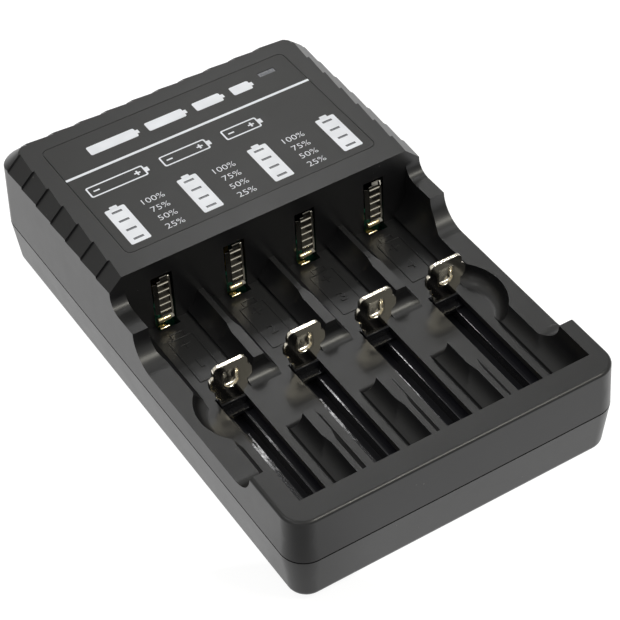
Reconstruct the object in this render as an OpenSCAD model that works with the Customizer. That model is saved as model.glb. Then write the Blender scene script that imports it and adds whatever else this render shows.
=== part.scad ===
// Desktop charger for four cylindrical lithium cells. Millimetres, +Z up.
// The origin is on the table, under the middle of the case. Cells lie along Y: the head with
// the fixed contacts is at +Y, the front wall at -Y, and the bays stand side by side along X.

/* [Case] */
// Width across the four bays, at the foot of the head's bevel
case_w = 94; // [90:0.5:120]
// Length from the front wall to the back of the head, at the same height
case_l = 151.4; // [145:0.2:180]
// How much further out every side stands at the parting line
side_flare = 0.7; // [0:0.1:1.5]
// Height of the head above the table
case_h = 39; // [36:0.5:46]
// Corner radius seen from above
corner_r = 6; // [5.8:0.1:8]
// Wall thickness of both shells
wall = 2; // [1.6:0.1:3]
// Height of the parting line between the shells
part_z = 15.4; // [13:0.1:18]
// Height of the lower shell's underside
base_z = 0.8; // [0.5:0.1:2]
// How far in the lower shell's sides stand at their lower end
base_draft = 0.65; // [0:0.05:0.8]
// Radius of the lower shell's bottom edge
base_edge_r = 2.5; // [1:0.1:2.5]
// Depth of the shadow gap along the parting line
seam_depth = 0.4; // [0.2:0.1:0.8]

/* [Side outline] */
// Height of the top of the front wall
rim_z = 29.4; // [26:0.1:32]
// Height of the low side rails
rail_z = 22.2; // [20:0.1:25]
// Height of the step beside the head
step_z = 30.3; // [27:0.1:34]
// Y of the head's front wall
head_y = 11.5; // [5:0.5:20]
// Y of the step's front corner
step_y = 0.1; // [-5:0.1:5]
// Y where the front block drops to the rails
block_y = -56.4; // [-62:0.1:-50]
// Radius of the front wall's top edge
rim_edge_r = 1.1; // [0.5:0.1:3]
// Thickness of the front wall
rim_t = 7; // [4:0.5:10]
// Radius of the sweep from the front block down to the rail
block_sweep_r = 7.2; // [4:0.1:7.2]
// Radius of the sweep from the step down to the rail
step_sweep_r = 8.1; // [4:0.1:8.1]
// Radius of the sweep from the head down to the step
head_sweep_r = 4; // [2:0.5:5]

/* [Head] */
// Width of the shingled bevel round the head
bevel_w = 3.75; // [2:0.05:5]
// Height of the bevel
bevel_h = 3.55; // [2:0.05:5]
// Corner radius of the head's top face
head_corner_r = 4.2; // [2:0.1:6]
// Length of one shingle of the bevel along the sides and along the back
shingle_l = 8.34; // [6:0.02:12]
shingle_back_l = 8.14; // [6:0.02:12]
// How far a shingle sinks over its length
shingle_sink = 0.45; // [0:0.05:0.8]
// Label width and length
label_w = 75.4; // [60:0.2:84]
label_l = 48.4; // [40:0.2:56]
// Y of the label's middle
label_y = 42.2; // [36:0.1:48]
// Label thickness
label_t = 0.35; // [0.2:0.05:0.6]
// Corner radius of the label
label_r = 1.8; // [1:0.1:4]

/* [Bays] */
// Distance between neighbouring bays
bay_pitch = 21.5; // [19:0.1:28]
// Thickness of the bay floor
floor_t = 1.8; // [1.2:0.1:2.5]
// Half width of the flat strip of floor
flat_half = 6.4; // [5:0.1:8]
// Height of the small step beside the flat strip
flat_step = 0.9; // [0.3:0.1:1.5]
// Cradle radius along the middle of a bay
cradle_r = 9.5; // [8.5:0.1:13]
// Cradle radius at both ends of a bay
end_cradle_r = 10.5; // [9:0.1:14]
// Height of the ridges between bays above the floor
ridge_h = 6; // [4:0.5:9]
// Y where the rear and the front wide cradles begin
rear_end_y = -2.8; // [-10:0.1:5]
front_end_y = -52.6; // [-58:0.1:-45]
// Length of the change from one cradle radius to the other
blend_l = 3.9; // [2:0.1:8]
// Finger channel across the bays: its rear and front top edges
channel_y1 = -17.6; // [-25:0.1:-10]
channel_y0 = -40.6; // [-48:0.1:-30]
// Fillet radius at the channel's floor
channel_r = 4; // [2:0.5:6]
// Thumb scoop radius and reach into the side wall
scoop_r = 14.1; // [10:0.1:18]
scoop_reach = 44.8; // [42:0.1:45.4]

/* [Sliders] */
// Width and ends of the floor slot of a slider
slot_w = 7.6; // [6:0.1:9]
slot_y0 = -66; // [-68:0.5:-60]
slot_y1 = -19.6; // [-24:0.1:-16]
// How far a slider travels
slide_travel = 41.5; // [30:0.5:41.5]
// Running clearance between a slider and its track
run_gap = 0.3; // [0.2:0.05:0.5]
// Slider plate: width, ear width, thickness, and height of its top edge
plate_w = 9.8; // [8:0.1:12]
plate_ear_w = 12; // [10:0.1:14]
plate_t = 1; // [0.6:0.1:1.5]
plate_top_z = 30.7; // [28:0.1:34]
// Y of the slider plate's front face
plate_y = -22.4; // [-24:0.1:-21]

/* [Contacts] */
// Width and top of the contact slots in the head wall
contact_slot_w = 6.2; // [5:0.1:8]
contact_slot_top = 33.8; // [30:0.1:35]
// Depth of the notch that each slot cuts into the floor
floor_notch = 2.1; // [1:0.1:3]
// Width and thickness of a fixed contact
contact_w = 3.5; // [2.5:0.1:5]
contact_t = 0.4; // [0.3:0.1:0.8]
// How far a fixed contact stands out from the head wall
contact_reach = 1; // [0.4:0.1:1.6]
// Distance between its ribs, and height of the lowest one
rib_pitch = 2.25; // [1.8:0.05:2.6]
rib_z = 22.4; // [20:0.1:24]

/* [Power] */
// Mains inlet: width, height and depth of its housing
inlet_w = 20; // [18:0.5:24]
inlet_h = 11.9; // [10:0.1:12]
inlet_d = 15; // [12:0.5:18]
// Distance between the inlet's pins, and pin diameter
pin_pitch = 8.6; // [8:0.1:9]
pin_d = 2.4; // [2:0.1:3]

/* [Feet and screws] */
// Foot diameter, and its place from the middle of the case
foot_d = 8; // [6:0.5:12]
foot_x = 36; // [30:0.5:40]
foot_y = 66; // [55:0.5:68]
// Screw place from the middle of the case, front and rear
screw_x = 41.8; // [38:0.1:42]
screw_front_y = -58; // [-64:0.5:-50]
screw_rear_y = 55; // [55:0.5:68]
// Screw shaft and head diameters
screw_d = 2.5; // [2:0.1:3]
screw_head_d = 4.2; // [3.5:0.1:5]

/* [Hidden] */
$fn = 64;
eps = 0.05;
far = 200;
hw = case_w / 2;
hl = case_l / 2;
floor_z = part_z + floor_t;
ridge_z = floor_z + ridge_h;
cradle_cz = floor_z + flat_step + sqrt(pow(cradle_r, 2) - pow(flat_half, 2));
end_cradle_cz = floor_z + flat_step + sqrt(pow(end_cradle_r, 2) - pow(flat_half, 2));
bays = [for (i = [0 : 3]) (i - 1.5) * bay_pitch];
outer_bay = bays[3];
rim_in_y = -hl + rim_t;
bevel_z = case_h - bevel_h;
// Slope of the upper shell's sides
side_slope = side_flare / (bevel_z - part_z);
front_y = -hl - side_slope * (bevel_z - rim_z + rim_edge_r);
shell_in_y = head_y + wall;
inner_w = case_w - 2 * wall;
// Track below the floor
track_z0 = 9.2;
ledge_z = 13.9;
groove_z = 10.4;
groove_w = 3.6;
flange_w = 11;
flange_t = part_z - ledge_z - 2 * run_gap;
flange_z = ledge_z + run_gap;
track_y0 = -69;
track_y1 = 9;
track_w = 2 * (outer_bay + flange_w / 2 + 1.1);
rail_t = 0.3;
rail_w = 1.2;
rail_x = -1.1;
// Boards behind the head wall and under the roof
board_t = 1.6;
contact_board_y = 14.3;
roof_z = case_h - wall;
lamp_board_z = 31.6;
power_board_z = 6;
// Windows of the level lamps, beside their bay's middle
window_pitch = 3.9;
window_y = [for (i = [0 : 3]) 22.1 + i * window_pitch];
window_w = 2.8;
window_h = 0.7;
window_gap = 0.1;
lamp_x = 29.9;
lamp_y = 61.3;
inlet_z = 9.3;
socket_r = 3.4;
foot_h = 1.6;
bore_d = 2.1;
screw_bite = 3;

// A box from one corner to the opposite one
module block(a, b) {
    translate(a) cube([b[0] - a[0], b[1] - a[1], b[2] - a[2]]);
}

// A box that is as wide to both sides of the middle plane X = cx
module mid_block(cx, half, y, z) {
    block([cx - half, y[0], z[0]], [cx + half, y[1], z[1]]);
}

// A rectangle with round corners, centred
module round_rect(w, l, r) {
    square([w - 2 * r, l], center = true);
    square([w, l - 2 * r], center = true);
    for (x = [-1, 1], y = [-1, 1])
        translate([x * (w / 2 - r), y * (l / 2 - r)]) circle(r);
}

// An outline drawn in Y and Z, extruded along X about the middle plane
module along_x(w) {
    translate([-w / 2, 0, 0]) rotate([90, 0, 90]) linear_extrude(w) children();
}

// An outline drawn in X and Z, extruded along Y from y0 to y1
module along_y(y0, y1) {
    translate([0, y1, 0]) rotate([90, 0, 0]) linear_extrude(y1 - y0) children();
}

// A round bar along Y
module bar_y(x, z, r, y0, y1, r1 = undef) {
    translate([x, y0, z]) rotate([-90, 0, 0])
        cylinder(h = y1 - y0, r1 = r, r2 = is_undef(r1) ? r : r1);
}

// Case outline seen from above, shrunk by a margin
module case_plan(margin = 0) {
    round_rect(case_w - 2 * margin, case_l - 2 * margin, corner_r - margin * 0.6);
}

// Outline of the case between two heights, with its own margin beyond the nominal one at each
module case_body(z0, z1, m0, m1) {
    along_x(2 * (hw - corner_r))
        polygon([[-hl - m0, z0], [hl + m0, z0], [hl + m1, z1], [-hl - m1, z1]]);
    along_y(-hl + corner_r, hl - corner_r)
        polygon([[-hw - m0, z0], [hw + m0, z0], [hw + m1, z1], [-hw - m1, z1]]);
    for (x = [-1, 1], y = [-1, 1])
        translate([x * (hw - corner_r), y * (hl - corner_r), z0])
            cylinder(h = z1 - z0, r1 = corner_r + m0, r2 = corner_r + m1);
}

// Cuts the top edge of the front block round: along its front, corners and sides
module rim_edge_cut() {
    // the rounding starts a hair outside the wall, so that it meets it at a clear angle
    y = front_y - 0.03;
    r = -hl + corner_r - y;
    z = rim_z - rim_edge_r;
    side_x = hw - corner_r + r - rim_edge_r;
    along_x(2 * (hw - corner_r)) difference() {
        translate([-far / 2, z]) square([far / 2 + y + rim_edge_r, 2 * rim_edge_r]);
        translate([y + rim_edge_r, z]) circle(rim_edge_r);
    }
    for (s = [-1, 1]) {
        translate([s * (hw - corner_r), -hl + corner_r, z]) difference() {
            translate([s > 0 ? 0 : -far / 20, -far / 20, 0]) cube([far / 20, far / 20, 2 * rim_edge_r]);
            rotate_extrude() {
                translate([0, -1]) square([r - rim_edge_r, rim_edge_r + 1]);
                translate([0, -1]) square([r, 1]);
                translate([r - rim_edge_r, 0]) circle(rim_edge_r);
            }
        }
        difference() {
            block([s > 0 ? side_x : -far / 4, -hl + corner_r, z],
                  [s > 0 ? far / 4 : -side_x, block_y + 2, z + 2 * rim_edge_r]);
            bar_y(s * side_x, z, rim_edge_r, -far / 2, far / 2);
        }
    }
}

// Side view of the upper shell in Y and Z
module side_outline() {
    difference() {
        union() {
            translate([block_y - 1, part_z]) square([far, rail_z - part_z]);
            translate([-hl - 2, part_z]) square([block_y + hl + 2, rim_z - part_z]);
            translate([block_y, part_z]) square([block_sweep_r, rail_z + block_sweep_r - part_z]);
            // step and head
            translate([step_y - step_sweep_r, part_z]) square([far, step_z - part_z]);
            translate([head_y - head_sweep_r, part_z]) square([far, step_z + head_sweep_r - part_z]);
            translate([head_y, part_z]) square([far, case_h - part_z]);
        }
        translate([hl + 2, 0]) square([far, far]);
        translate([block_y + block_sweep_r, rail_z + block_sweep_r]) circle(block_sweep_r);
        translate([step_y - step_sweep_r, rail_z + step_sweep_r]) circle(step_sweep_r);
        translate([head_y - head_sweep_r, step_z + head_sweep_r]) circle(head_sweep_r);
    }
}

// One tilted cutter of the bevel on a side at +X: it starts at Y 0 and sinks toward -Y
module shingle_cut(length) {
    slope = atan(bevel_w / bevel_h);
    tilt = atan(shingle_sink / length);
    rotate([0, -slope, 0]) rotate([0, 0, -tilt])
        translate([0, -length / cos(tilt) - 0.02, -far / 20])
            cube([far / 20, length / cos(tilt) + 0.02, far / 10]);
}

// The bevel's cutters along one side of the head
module bevel_row(pitch, count) {
    for (i = [0 : count - 1])
        translate([0, -i * pitch, 0]) shingle_cut(pitch);
}

// The shingled bevel round the head: right side, back and left side
module head_bevel() {
    side_n = ceil((hl - head_y) / shingle_l);
    back_n = ceil(case_w / shingle_back_l);
    side_y = head_y - 1.04;
    translate([hw, side_y + side_n * shingle_l, bevel_z]) bevel_row(shingle_l, side_n);
    translate([-hw - 0.6, hl, bevel_z]) rotate([0, 0, 90]) bevel_row(shingle_back_l, back_n);
    translate([-hw, side_y, bevel_z]) rotate([0, 0, 180]) bevel_row(shingle_l, side_n);
    // the corners are turned off round, a little deeper than the bevel
    drop = 1.5;
    slope = bevel_w / bevel_h;
    mid = bevel_w + head_corner_r;
    for (s = [-1, 1])
        translate([s * (hw - mid), hl - mid, bevel_z - drop]) difference() {
            translate([s > 0 ? 0 : -far / 20, 0, 0]) cube([far / 20, far / 20, drop + bevel_h + 1]);
            translate([0, 0, -eps])
                cylinder(h = drop + bevel_h + 2 * eps, r1 = mid + (drop + eps) * slope,
                         r2 = head_corner_r - eps * slope);
        }
}

// Room that one cell's cradle takes out of the upper shell
module cradle_cut(x) {
    y0 = rim_in_y;
    intersection() {
        union() {
            bar_y(x, cradle_cz, cradle_r, y0, head_y);
            bar_y(x, end_cradle_cz, end_cradle_r, rear_end_y, head_y);
            bar_y(x, end_cradle_cz, end_cradle_r - 0.7, rear_end_y - blend_l, rear_end_y, end_cradle_r);
            bar_y(x, end_cradle_cz, end_cradle_r, y0, front_end_y);
            bar_y(x, end_cradle_cz, end_cradle_r, front_end_y, front_end_y + blend_l, end_cradle_r - 0.7);
        }
        mid_block(x, far, [y0, head_y], [floor_z + flat_step, far]);
    }
    mid_block(x, flat_half, [y0, head_y], [floor_z, floor_z + 2]);
}

// The open room over the four cradles
module bay_room() {
    wide = outer_bay + cradle_r;
    end_wide = outer_bay + end_cradle_r;
    for (x = bays) cradle_cut(x);
    mid_block(0, outer_bay, [rim_in_y, head_y], [ridge_z, far]);
    mid_block(0, wide, [rim_in_y, head_y], [cradle_cz, far]);
    mid_block(0, end_wide, [rear_end_y, head_y], [end_cradle_cz, far]);
    mid_block(0, end_wide, [rim_in_y, front_end_y], [end_cradle_cz, far]);
}

// Finger channel across the bays, with a thumb scoop in each side wall
module channel_cut() {
    along_x(2 * outer_bay + 2) {
        translate([channel_y0, floor_z + channel_r])
            square([channel_y1 - channel_y0, ridge_h]);
        translate([channel_y0 + channel_r, floor_z])
            square([channel_y1 - channel_y0 - 2 * channel_r, ridge_h]);
        for (y = [channel_y0 + channel_r, channel_y1 - channel_r])
            translate([y, floor_z + channel_r]) circle(channel_r);
    }
    for (s = [-1, 1]) intersection() {
        translate([s * (scoop_reach - scoop_r), (channel_y0 + channel_y1) / 2 + 0.9, floor_z])
            rotate_extrude() {
                square([scoop_r - channel_r, far / 10]);
                translate([0, channel_r]) square([scoop_r, far / 10]);
                translate([scoop_r - channel_r, channel_r]) circle(channel_r);
            }
        mid_block(s * (outer_bay + far / 4), far / 4, [-far, far], [floor_z, far]);
    }
}

// Inside of the head: walls follow the bevel
module head_cavity() {
    slant = 2.6;
    intersection() {
        along_y(shell_in_y, hl - wall) polygon([
            [-hw + wall, part_z - 1], [hw - wall, part_z - 1], [hw - wall, roof_z - slant],
            [hw - wall - slant, roof_z], [-hw + wall + slant, roof_z], [-hw + wall, roof_z - slant]]);
        along_x(inner_w) polygon([
            [shell_in_y, part_z - 1], [hl - wall, part_z - 1], [hl - wall, roof_z - slant],
            [hl - wall - slant, roof_z], [shell_in_y, roof_z]]);
        linear_extrude(far) case_plan(wall);
    }
}

// Room for the label, its windows and the lamp windows
module label_cuts() {
    translate([0, label_y, case_h - label_t]) linear_extrude(1)
        round_rect(label_w + 0.3, label_l + 0.3, label_r + 0.15);
    window_holes();
    mid_block(lamp_x, 2.5 + window_gap, [lamp_y - 0.9, lamp_y + 0.9], [roof_z - 1, case_h + 1]);
}

// Holes that the light guides come up through
module window_holes() {
    for (x = bays, y = window_y)
        mid_block(x, window_w / 2 + window_gap,
                  [y - window_h / 2 - window_gap, y + window_h / 2 + window_gap], [roof_z - 1, case_h + 1]);
}

// Screw bosses of the upper shell in the head
module head_bosses() {
    for (s = [-1, 1]) {
        translate([s * screw_x, screw_rear_y, part_z]) cylinder(h = roof_z - 3 - part_z, d = 6);
        // a web ties each boss to the side wall
        mid_block(s * (hw - wall), 1.5, [screw_rear_y - 1, screw_rear_y + 1], [part_z, roof_z - 3]);
    }
    // spacer ribs that hold the contact board off the head wall
    for (x = [-bay_pitch, 0, bay_pitch])
        mid_block(x, 1, [shell_in_y - eps, contact_board_y], [floor_z, roof_z]);
    // posts that carry the display board
    for (s = [-1, 1], y = [20, 62])
        translate([s * 36.5, y, lamp_board_z + board_t]) cylinder(h = roof_z - lamp_board_z - board_t, d = 3);
}

module top_shell() {
    color("#262626") difference() {
        union() {
            difference() {
                intersection() {
                    union() {
                        along_x(case_w + 4) side_outline();
                        mid_block(0, outer_bay, [block_y - eps, head_y], [part_z, ridge_z]);
                    }
                    case_body(part_z, case_h, side_flare, -side_slope * bevel_h);
                }
                head_bevel();
                rim_edge_cut();
                head_cavity();
                bay_room();
                // the front wall is hollow from below
                mid_block(0, hw - 7, [-hl + wall, rim_in_y - wall], [part_z - 1, rim_z - wall]);
            }
            head_bosses();
        }
        channel_cut();
        label_cuts();
        for (x = bays) {
            mid_block(x, slot_w / 2, [slot_y0, slot_y1], [part_z - 1, floor_z + 1]);
            mid_block(x, contact_slot_w / 2, [head_y - floor_notch, shell_in_y + 1],
                      [part_z - 1, contact_slot_top]);
        }
        // shadow gap along the parting line
        difference() {
            translate([0, 0, part_z - eps]) linear_extrude(seam_depth + eps) square([far, far], center = true);
            translate([0, 0, part_z - 1]) linear_extrude(2) case_plan(seam_depth - side_flare);
        }
        for (s = [-1, 1], y = [screw_front_y, screw_rear_y])
            translate([s * screw_x, y, part_z - 1]) cylinder(h = screw_bite + 1.5, d = bore_d);
    }
}

// Outside of the lower shell, a little narrower at its underside
module base_body() {
    low = base_z + base_edge_r;
    along_y(-hl + corner_r, hl - corner_r) drafted(hw, low);
    along_x(2 * (hw - corner_r)) drafted(hl, low);
    for (x = [-1, 1], y = [-1, 1])
        translate([x * (hw - corner_r), y * (hl - corner_r), 0]) rotate_extrude() {
            polygon([[0, base_z], [corner_r - base_draft - base_edge_r, base_z],
                     [corner_r - base_draft, low], [corner_r + side_flare, part_z], [0, part_z]]);
            translate([corner_r - base_draft - base_edge_r, low]) circle(base_edge_r);
        }
}

// Section of the lower shell: drafted sides with round lower edges
module drafted(half, low) {
    polygon([[-half - side_flare, part_z], [half + side_flare, part_z],
             [half - base_draft, low], [-half + base_draft, low]]);
    translate([-half + base_draft + base_edge_r, base_z])
        square([2 * (half - base_draft - base_edge_r), base_edge_r + eps]);
    for (s = [-1, 1])
        translate([s * (half - base_draft - base_edge_r), low]) circle(base_edge_r);
}

module base_shell() {
    inner_z = base_z + wall;
    color("#222222") difference() {
        union() {
            difference() {
                base_body();
                translate([0, 0, inner_z]) linear_extrude(part_z) case_plan(wall);
            }
            for (s = [-1, 1], y = [screw_front_y, screw_rear_y]) {
                translate([s * screw_x, y, inner_z - eps]) cylinder(h = 4.4, d = 6.8);
                translate([s * screw_x, y, inner_z - eps]) cylinder(h = part_z - inner_z + eps, d = 5);
            }
            // ribs under the slide track, and posts under the power board
            for (y = [-60, -30, 0]) mid_block(0, 37, [y - 0.8, y + 0.8], [inner_z - eps, track_z0]);
            for (s = [-1, 1], y = [24, 54])
                translate([s * 34, y, inner_z - eps])
                    cylinder(h = power_board_z - inner_z + eps, d = 5);
            // rests of the contact board and of the inlet
            for (x = [-30, 0, 30])
                mid_block(x, 3, [contact_board_y - 0.6, contact_board_y + board_t + 0.6],
                          [inner_z - eps, 5]);
            mid_block(0, inlet_w / 2, [hl - wall - 10, hl - wall], [inner_z - eps, inlet_z - inlet_h / 2]);
        }
        for (s = [-1, 1], y = [screw_front_y, screw_rear_y])
            translate([s * screw_x, y, 0]) {
                cylinder(h = part_z + 1, d = screw_d + 0.4);
                cylinder(h = base_z + 4.2, d = screw_head_d + 0.4);
            }
        for (s = [-1, 1], y = [-foot_y, foot_y])
            translate([s * foot_x, y, 0]) cylinder(h = foot_h, d = foot_d + 0.2);
        // opening for the mains inlet
        mid_block(0, inlet_w / 2 + 0.1, [hl - wall - 1, hl + 1], [inlet_z - inlet_h / 2, part_z + 1]);
        // ventilation slots below the power board
        for (s = [-1, 1], i = [0 : 5])
            translate([s * (11 + i * 4), 39, 0]) linear_extrude(inner_z + 1)
                round_rect(1.6, 20, 0.79);
    }
}

module label_plate() {
    color("#1c1c1c") difference() {
        translate([0, label_y, case_h - label_t]) linear_extrude(label_t)
            round_rect(label_w, label_l, label_r);
        window_holes();
        mid_block(lamp_x, 2.5 + window_gap, [lamp_y - 0.9, lamp_y + 0.9], [roof_z, case_h + 1]);
    }
}

module power_window() {
    color("#8a8a8a") {
        mid_block(lamp_x, 2.5, [lamp_y - 0.8, lamp_y + 0.8], [roof_z - 0.01, case_h - 0.1]);
        mid_block(lamp_x, 3.2, [lamp_y - 1.5, lamp_y + 1.5], [roof_z - 1, roof_z]);
    }
}

module light_guide(x) {
    color("#8f8f8f") {
        for (y = window_y)
            mid_block(x, window_w / 2, [y - window_h / 2, y + window_h / 2], [roof_z - 0.01, case_h - 0.1]);
        mid_block(x, 2, [window_y[0] - 1.5, window_y[3] + 1.5], [roof_z - 1.2, roof_z]);
    }
}

// A thin strip bent along points in Y and Z, with round bends
module bent_strip(path, t) {
    for (i = [0 : len(path) - 2]) {
        d = path[i + 1] - path[i];
        translate(path[i]) rotate(atan2(d[1], d[0])) translate([0, -t / 2]) square([norm(d), t]);
    }
    for (p = path) translate(p) circle(t / 2);
}

// Fixed contact: a ribbed strip that leans out of its slot, with a heel and a lug to the board
module contact(x) {
    face = head_y - contact_reach + contact_t / 2;
    low_z = rib_z - 1.3;
    top_z = rib_z + 4 * rib_pitch + 0.9;
    rib_r = 0.27;
    path = [[face + 0.55, contact_slot_top - 0.5], [face + 0.3, top_z], [face, low_z],
            [face - 0.7, low_z - 1.3], [face + 0.4, low_z - 2.6],
            [contact_board_y - 0.6, part_z + 0.4], [contact_board_y - 0.2, part_z + 0.4]];
    wing = 1.2;
    color("#c9c4b4") translate([x, 0, 0]) {
        along_x(contact_w) bent_strip([for (i = [1 : 6]) path[i]], contact_t);
        translate([0.5, 0, 0]) along_x(contact_w - 1) bent_strip([path[0], path[1]], contact_t);
        // raised edge down the right side
        translate([contact_w / 2 - 0.2, -0.3, 0]) along_x(0.5)
            bent_strip([path[0], path[1], path[2]], contact_t + 0.2);
        // smooth wing folded back along the left side
        translate([-contact_w / 2 + 0.15, face, low_z + 0.3])
            rotate([-atan(0.3 / (top_z - low_z)), 0, 0]) rotate([0, 0, 158])
                block([0, -contact_t * 0.6, 0], [wing + 0.15, 0, top_z - 1 - low_z]);
        for (i = [0 : 4])
            translate([-contact_w / 2, face - 0.22 + i * 0.06, rib_z + i * rib_pitch]) rotate([0, 90, 0])
                cylinder(h = contact_w, r = rib_r);
    }
}

module contact_board() {
    color("#1d4a2c") mid_block(0, 41, [contact_board_y, contact_board_y + board_t], [5, 20.6]);
}

// Track under the floor: a groove for each slider with a ledge at both sides
module slide_track() {
    color("#111111") difference() {
        mid_block(0, track_w / 2, [track_y0, track_y1], [track_z0, part_z]);
        for (x = bays) {
            mid_block(x, flange_w / 2 + run_gap, [track_y0 + 1, -12], [ledge_z, part_z + 1]);
            mid_block(x, groove_w / 2, [track_y0 + 1, track_y1 - 1.2], [groove_z, part_z + 1]);
            mid_block(x + rail_x, rail_w / 2, [track_y0 + 1, track_y1 + 1], [groove_z, groove_z + rail_t]);
        }
        // hollows between the grooves, open below
        for (x = [-bay_pitch, 0, bay_pitch])
            mid_block(x, bay_pitch / 2 - flange_w / 2 - 1.8, [track_y0 + 2, track_y1 - 2],
                      [track_z0 - 1, ledge_z - 1.2]);
    }
}

// Rail that a slider's tang presses on, turned up behind the head wall to the board
module contact_rail(x) {
    y0 = track_y0 + 1.2;
    zc = groove_z + rail_t / 2;
    color("#b9b4a6") translate([x + rail_x, 0, 0]) {
        mid_block(0, rail_w / 2, [y0, track_y1 + 2], [groove_z, groove_z + rail_t]);
        along_x(rail_w)
            bent_strip([[track_y1 + 2, zc], [contact_board_y - 0.8, zc + 2.4],
                        [contact_board_y - 0.15, zc + 2.4]], rail_t);
    }
}

// Outline of the slider plate in X and Z, centred on X
module plate_outline() {
    ear_z = plate_top_z - 5.4;
    foot_top = floor_z + 0.5;
    neck_w = 6.6;
    r = 1.5;
    union() {
        translate([0, plate_top_z - 4]) round_rect(plate_w, 8, r);
        translate([0, ear_z]) round_rect(plate_ear_w, 5, 1.8);
        translate([-plate_w / 2 + 0.4, plate_top_z - 10]) square([plate_w - 0.8, 5]);
        translate([0, plate_top_z - 9.4]) round_rect(plate_w - 0.8, 4, 1.9);
        translate([-neck_w / 2, foot_top]) square([neck_w, plate_top_z - foot_top - 6]);
    }
}

// Sliding contact plate with a pressed U-shaped boss toward the cell
module slider_plate(x) {
    boss_w = 5.2;
    boss_z0 = plate_top_z - 8.8;
    boss_z1 = plate_top_z - 1.9;
    boss_depth = 1.1;
    back = plate_y + plate_t;
    color("#c8c3b5") translate([x, 0, 0]) difference() {
        union() {
            along_y(plate_y, back) plate_outline();
            along_y(back - eps, back + boss_depth) boss_outline(boss_w, boss_z0, boss_z1);
            // tang that runs down through the carriage and rests over the contact rail
            mid_block(rail_x + 0.15, 0.5, [plate_y, back], [groove_z + rail_t + run_gap, floor_z + 1]);
        }
        along_y(plate_y - eps, back + 0.6) boss_outline(boss_w - 1, boss_z0 + 0.5, boss_z1 - 0.4);
    }
}

// A boss outline in X and Z: round at the bottom, square at the top
module boss_outline(w, z0, z1) {
    translate([0, z0 + w / 2]) circle(w / 2);
    translate([-w / 2, z0 + w / 2]) square([w, z1 - z0 - w / 2]);
}

// Carriage: a foot in the floor slot, flanges under the floor and a tail in the groove
module slider_carriage(x) {
    foot_y0 = plate_y - 0.5;
    foot_y1 = slot_y1 - run_gap;
    foot_z1 = floor_z + 0.5;
    foot_half = slot_w / 2 - run_gap;
    head_z1 = floor_z + 3.1;
    tail_half = groove_w / 2 - run_gap;
    flange_y0 = foot_y0 - 2;
    flange_y1 = foot_y1 + 3.4;
    color("#161616") translate([x, 0, 0]) difference() {
        union() {
            along_x(2 * foot_half) {
                translate([foot_y0, flange_z]) square([foot_y1 - foot_y0, foot_z1 - 0.5 - flange_z]);
                translate([foot_y0 + 0.5, flange_z]) square([foot_y1 - foot_y0 - 0.5, foot_z1 - flange_z]);
                translate([foot_y0 + 0.5, foot_z1 - 0.5]) circle(0.5);
            }
            along_x(2 * foot_half - 0.6)
                polygon([[plate_y, foot_z1 - 0.3], [plate_y, head_z1],
                         [plate_y + plate_t + 0.8, head_z1], [foot_y1 - 0.4, foot_z1 - 0.1]]);
            mid_block(0, flange_w / 2, [flange_y0, flange_y1], [flange_z, flange_z + flange_t]);
            mid_block(0, tail_half, [foot_y0, flange_y1], [groove_z + rail_t + run_gap, flange_z + eps]);
        }
        // seat of the plate
        along_y(plate_y, plate_y + plate_t) plate_outline();
        mid_block(rail_x + 0.15, 0.5, [plate_y, plate_y + plate_t], [groove_z, floor_z + 1]);
    }
}

// Helical tension spring behind the carriage, its last turn on the track's rear wall
module return_spring(x) {
    coil_r = 1.2;
    wire_r = 0.22;
    turns = 14;
    steps = 8;
    sides = 6;
    y0 = slot_y1 - run_gap + 3.45;
    y1 = track_y1 - 1.25;
    rings = turns * steps;
    zc = groove_z + rail_t + 1.75;
    span = y1 - y0 - 2 * wire_r;
    points = [for (i = [0 : rings], j = [0 : sides - 1])
        let (a = 360 * i / steps, b = 360 * j / sides, r = coil_r + wire_r * cos(b))
        [x + r * cos(a), y0 + wire_r + span * i / rings + wire_r * sin(b), zc + r * sin(a)]];
    sides_faces = [for (i = [0 : rings - 1], j = [0 : sides - 1])
        let (k = (j + 1) % sides)
        [i * sides + j, (i + 1) * sides + j, (i + 1) * sides + k, i * sides + k]];
    start_cap = [for (j = [0 : sides - 1]) j];
    end_cap = [for (j = [0 : sides - 1]) rings * sides + sides - 1 - j];
    color("#9c9c9c") polyhedron(points, concat([start_cap], sides_faces, [end_cap]));
}

module display_board() {
    color("#1d4a2c") mid_block(0, 38, [18, 64], [lamp_board_z, lamp_board_z + board_t]);
}

module level_lamps() {
    top = lamp_board_z + board_t;
    color("#e8e4d0") {
        for (x = bays, y = window_y) mid_block(x, 0.8, [y - 0.5, y + 0.5], [top, top + 0.8]);
        mid_block(lamp_x, 0.8, [lamp_y - 0.5, lamp_y + 0.5], [top, top + 0.8]);
    }
}

module power_board() {
    color("#1d4a2c") mid_block(0, 37.5, [20, 58], [power_board_z, power_board_z + board_t]);
}

module transformer() {
    z0 = power_board_z + board_t;
    color("#b58a1e") {
        mid_block(-14, 10, [28, 50], [z0 + 2, z0 + 16]);
        mid_block(-14, 12, [25, 53], [z0, z0 + 2 + eps]);
        mid_block(-14, 6, [25, 53], [z0 + 5, z0 + 13]);
    }
}

module capacitor(x, y, d, h) {
    z0 = power_board_z + board_t;
    color("#1c2c4c") translate([x, y, z0]) cylinder(h = h, d = d);
}

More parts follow.
